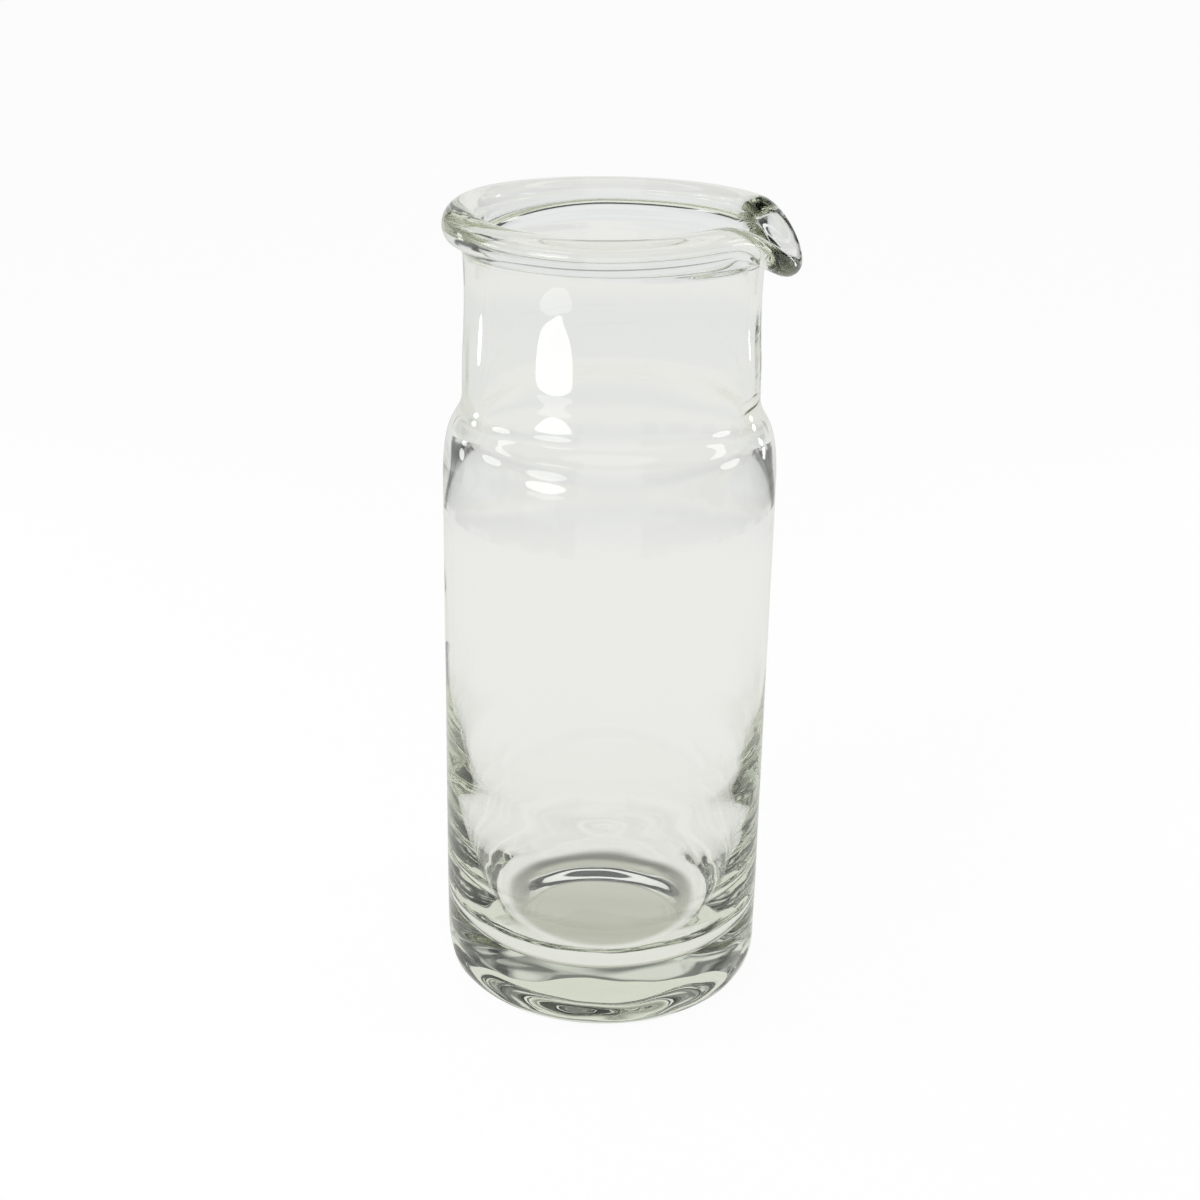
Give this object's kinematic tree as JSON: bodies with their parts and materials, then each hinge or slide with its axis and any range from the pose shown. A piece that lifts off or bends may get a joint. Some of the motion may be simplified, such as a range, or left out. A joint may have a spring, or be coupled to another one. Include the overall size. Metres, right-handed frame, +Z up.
{
  "type": "water carafe",
  "caption": "Hand-blown clear glass water carafe with a heavy solid base, straight body, stepped shoulder and thick rolled lip pulled into a pouring spout.",
  "frame": {"origin": "centre of the flat face on which the carafe stands", "axes": "+Z up along the axis of the vessel, +X towards the tip of the pouring spout"},
  "size_m": [0.1017, 0.0974, 0.24],
  "materials": {
    "clear_glass": "clear fire-polished hand-blown glass with a faint green tint and slight ripples"
  },
  "bodies": {
    "root": {"vessel": "clear_glass", "lip": "clear_glass"}
  },
  "joints": []
}
